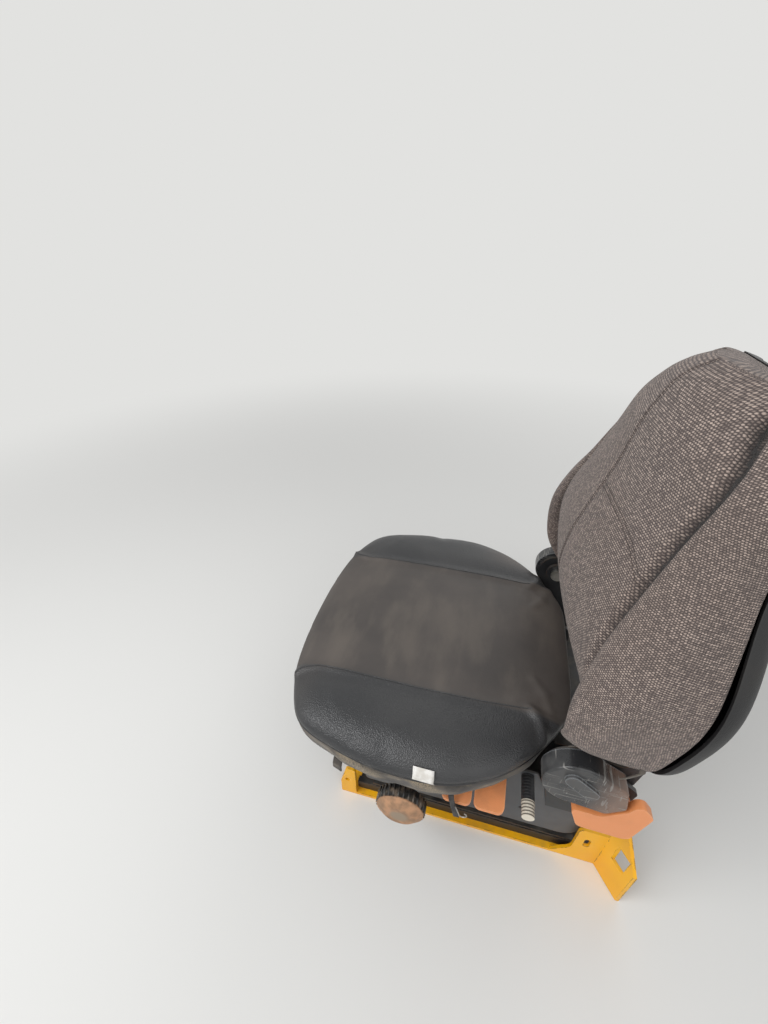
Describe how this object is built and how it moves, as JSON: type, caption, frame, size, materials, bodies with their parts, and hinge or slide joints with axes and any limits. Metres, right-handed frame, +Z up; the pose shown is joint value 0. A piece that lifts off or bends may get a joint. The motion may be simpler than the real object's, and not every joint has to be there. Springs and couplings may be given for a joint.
{
  "type": "operator's seat of a construction machine",
  "caption": "Suspension seat with a raked backrest, a cushion that tilts and slides, a recliner and slide rails on a bolted yellow base frame.",
  "frame": {"origin": "middle of the four base bolts, on the underside of the base frame", "axes": "+X forward, +Y the sitter's left, +Z up"},
  "size_m": [0.535, 0.502, 0.7406],
  "materials": {
    "yellow_paint": "satin, chipped at its edges",
    "black_paint": "satin black, dusty",
    "grey_paint": "matt dark grey, dusty",
    "bright_steel": "ground steel",
    "dark_steel": "blackened steel with a pale plated nut",
    "black_rubber": "matt rubber",
    "grey_plastic": "scuffed dark grey moulding",
    "black_plastic": "fine-grained black moulding",
    "orange_plastic": "faded orange moulding",
    "seat_vinyl": "grained black vinyl, worn smooth in the middle",
    "back_fabric": "coarse brown-grey weave"
  },
  "bodies": {
    "base": {"base_side_left": "yellow_paint", "base_side_right": "yellow_paint", "base_cross_members": "yellow_paint", "base_wing_left": "yellow_paint", "base_wing_right": "yellow_paint", "fixed_rail_left": "black_paint", "fixed_rail_right": "black_paint"},
    "carriage": {"slider_left": "black_paint", "slider_right": "black_paint", "release_bar": "black_paint", "suspension_tray": "black_paint", "scissor_arm_outer_left": "black_paint", "scissor_arm_outer_right": "black_paint", "scissor_arm_inner_left": "black_paint", "scissor_arm_inner_right": "black_paint", "scissor_shafts": "bright_steel", "air_spring": "black_rubber", "damper_tube": "black_paint", "damper_rod": "bright_steel", "suspension_deck": "black_paint", "side_skirt_left": "grey_paint", "side_skirt_right": "grey_paint", "side_stud_left": "dark_steel", "side_stud_right": "dark_steel", "tilt_pads": "black_rubber", "tilt_shaft": "bright_steel", "hinge_bracket_left": "black_paint", "hinge_bracket_right": "black_paint", "hinge_pin_left": "bright_steel", "hinge_pin_right": "bright_steel", "hinge_cover_left": "grey_plastic", "hinge_cover_right": "grey_plastic", "recline_handle": "orange_plastic", "weight_knob": "black_plastic", "knob_neck": "grey_plastic"},
    "tilt_frame": {"tilt_rail_left": "black_paint", "tilt_rail_right": "black_paint", "tilt_cross_members": "black_paint", "paddle_tilt": "orange_plastic", "paddle_depth": "orange_plastic"},
    "cushion": {"cushion_pan": "black_paint", "seat_cushion": "seat_vinyl"},
    "backrest": {"back_cushion": "back_fabric", "back_shell": "black_plastic", "recliner_arm_left": "black_paint", "recliner_arm_right": "black_paint", "back_cross_tube": "black_paint"}
  },
  "joints": [
    {"name": "fore_aft", "type": "slide", "parent": "base", "child": "carriage", "axis": [1, 0, 0], "range_m": [-0.08, 0.08]},
    {"name": "cushion_tilt", "type": "hinge", "parent": "carriage", "child": "tilt_frame", "pos_m": [-0.118, 0, 0.1935], "axis": [0, -1, 0], "range_deg": [0, 5]},
    {"name": "cushion_depth", "type": "slide", "parent": "tilt_frame", "child": "cushion", "axis": [1, 0, 0], "range_m": [0, 0.06]},
    {"name": "backrest_recline", "type": "hinge", "parent": "carriage", "child": "backrest", "pos_m": [-0.097, 0, 0.284], "axis": [0, -1, 0], "range_deg": [-10, 18]}
  ]
}
